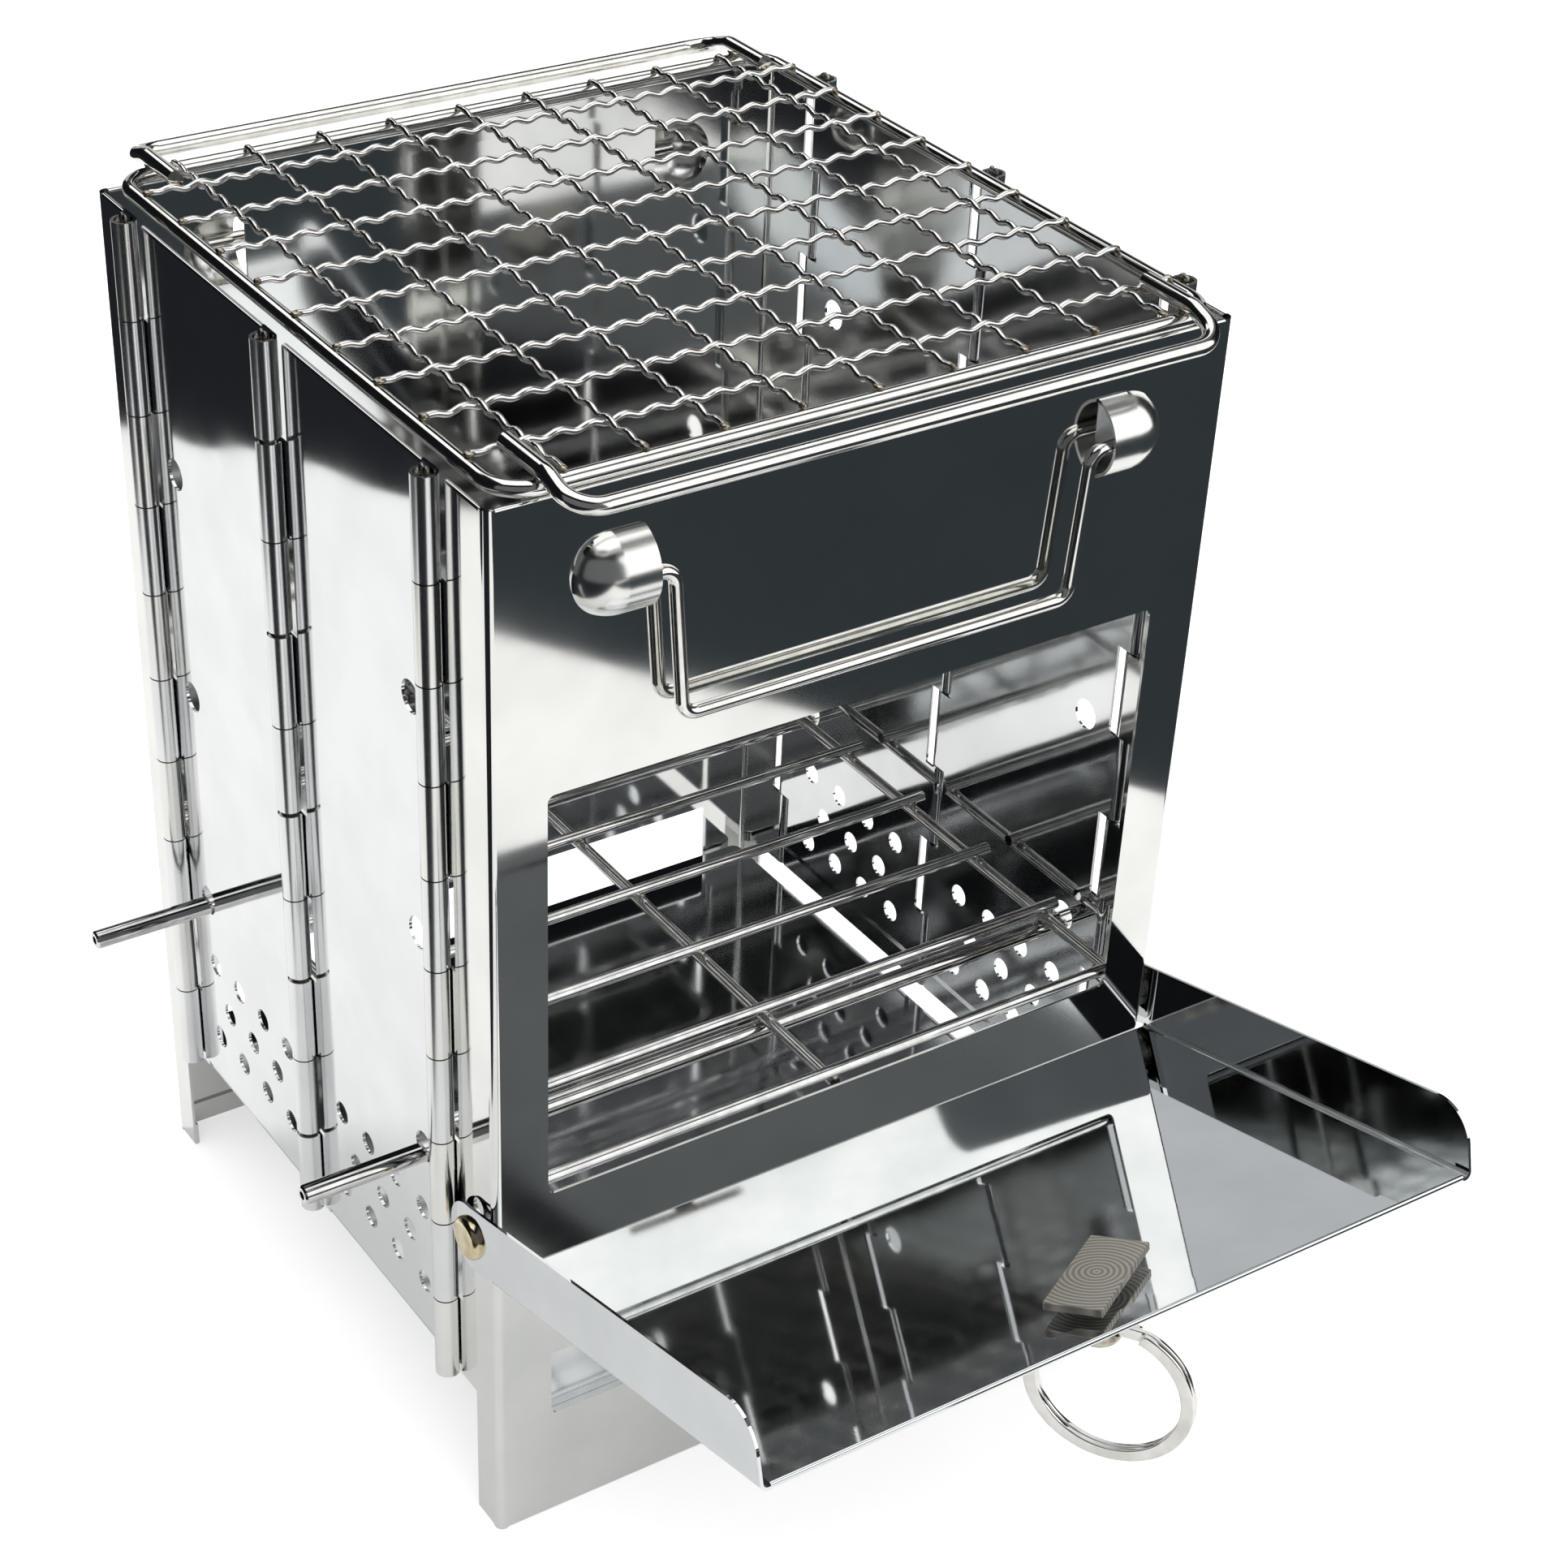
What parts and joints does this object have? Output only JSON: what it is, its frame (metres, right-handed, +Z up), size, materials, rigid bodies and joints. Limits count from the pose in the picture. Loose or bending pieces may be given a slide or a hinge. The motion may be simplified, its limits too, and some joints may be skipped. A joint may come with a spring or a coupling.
{
  "type": "folding camping wood stove",
  "caption": "Square folding sheet-steel camping wood stove with a drop-down fuel door, wire grill, grate on rods, ash plate and carrying bails.",
  "frame": {"origin": "middle of the box between its four walls, on the floor it stands on", "axes": "+X to the right and -Y out of the fuel door, seen from the front; +Z up"},
  "size_m": [0.1853, 0.2593, 0.2342],
  "materials": {
    "sheet": "mirror-polished stainless steel sheet",
    "wire": "polished stainless steel wire and rod",
    "turned": "turned and brushed stainless steel",
    "rivet": "domed steel rivet, straw-coloured by heat"
  },
  "bodies": {
    "front": {"front_shell": "sheet", "front_hinge_pins": "turned"},
    "left_front_wall": {"left_front_panel": "sheet"},
    "left_rear_wall": {"left_rear_panel": "sheet", "left_middle_pin": "turned"},
    "back": {"back_shell": "sheet", "rear_hinge_pins": "turned"},
    "right_front_wall": {"right_front_panel": "sheet"},
    "right_rear_wall": {"right_rear_panel": "sheet", "right_middle_pin": "turned"},
    "door": {"door": "sheet", "door_rivets": "rivet", "door_washers": "turned"},
    "latch": {"latch_plate": "turned", "latch_spindle": "turned"},
    "ring": {"latch_ring": "wire"},
    "front_bail": {"front_bail": "wire"},
    "rear_bail": {"rear_bail": "wire"},
    "grill": {"grill_frame": "wire", "grill_front_handle": "wire", "grill_rear_handle": "wire", "grill_long_wires": "wire", "grill_short_wires": "wire"},
    "grate": {"grate_bars": "wire", "grate_cross_bars": "wire"},
    "front_rod": {"front_support_rod": "wire"},
    "rear_rod": {"rear_support_rod": "wire"},
    "ash_plate": {"ash_plate": "sheet"}
  },
  "joints": [
    {"name": "left_front_fold", "type": "hinge", "parent": "front", "child": "left_front_wall", "pos_m": [-0.07935, -0.0589, 0.13], "axis": [0, 0, -1], "range_deg": [0, 2]},
    {"name": "left_rear_fold", "type": "hinge", "parent": "left_front_wall", "child": "left_rear_wall", "pos_m": [-0.07935, 0, 0.13], "axis": [0, 0, 1], "range_deg": [0, 4]},
    {"name": "back_fold", "type": "hinge", "parent": "left_rear_wall", "child": "back", "pos_m": [-0.07935, 0.0589, 0.13], "axis": [0, 0, -1], "range_deg": [0, 2]},
    {"name": "right_front_fold", "type": "hinge", "parent": "front", "child": "right_front_wall", "pos_m": [0.07935, -0.0589, 0.13], "axis": [0, 0, 1], "range_deg": [0, 2]},
    {"name": "right_rear_fold", "type": "hinge", "parent": "right_front_wall", "child": "right_rear_wall", "pos_m": [0.07935, 0, 0.13], "axis": [0, 0, -1], "range_deg": [0, 4]},
    {"name": "door_hinge", "type": "hinge", "parent": "front", "child": "door", "pos_m": [0, -0.069, 0.0734], "axis": [-1, 0, 0], "range_deg": [0, 75.2]},
    {"name": "latch_turn", "type": "hinge", "parent": "door", "child": "latch", "pos_m": [0.002, -0.15195, 0.09532], "axis": [0, 0.2555, 0.9668], "continuous": true},
    {"name": "ring_swing", "type": "hinge", "parent": "latch", "child": "ring", "pos_m": [0.002, -0.15545, 0.08207], "axis": [-0.5299, 0.8199, -0.2166], "range_deg": [-70, 70]},
    {"name": "front_bail_swing", "type": "hinge", "parent": "front", "child": "front_bail", "pos_m": [0, -0.0793, 0.211], "axis": [-1, 0, 0], "range_deg": [-4, 150]},
    {"name": "rear_bail_swing", "type": "hinge", "parent": "back", "child": "rear_bail", "pos_m": [0, 0.0793, 0.211], "axis": [1, 0, 0], "range_deg": [-4, 150]},
    {"name": "grill_lift", "type": "slide", "parent": "front", "child": "grill", "axis": [0, 0, 1], "range_m": [0, 0.04]},
    {"name": "grate_lift", "type": "slide", "parent": "front", "child": "grate", "axis": [0, 0, 1], "range_m": [0, 0.04]},
    {"name": "ash_plate_lift", "type": "slide", "parent": "front", "child": "ash_plate", "axis": [0, 0, 1], "range_m": [0, 0.04]},
    {"name": "front_rod_slide", "type": "slide", "parent": "front", "child": "front_rod", "axis": [-1, 0, 0], "range_m": [0, 0.15]},
    {"name": "rear_rod_slide", "type": "slide", "parent": "back", "child": "rear_rod", "axis": [-1, 0, 0], "range_m": [0, 0.15]}
  ],
  "couplings": [
    {"joint": "left_rear_fold", "follows": "left_front_fold", "ratio": 2},
    {"joint": "back_fold", "follows": "left_front_fold", "ratio": 1},
    {"joint": "right_front_fold", "follows": "left_front_fold", "ratio": 1},
    {"joint": "right_rear_fold", "follows": "left_front_fold", "ratio": 2}
  ]
}
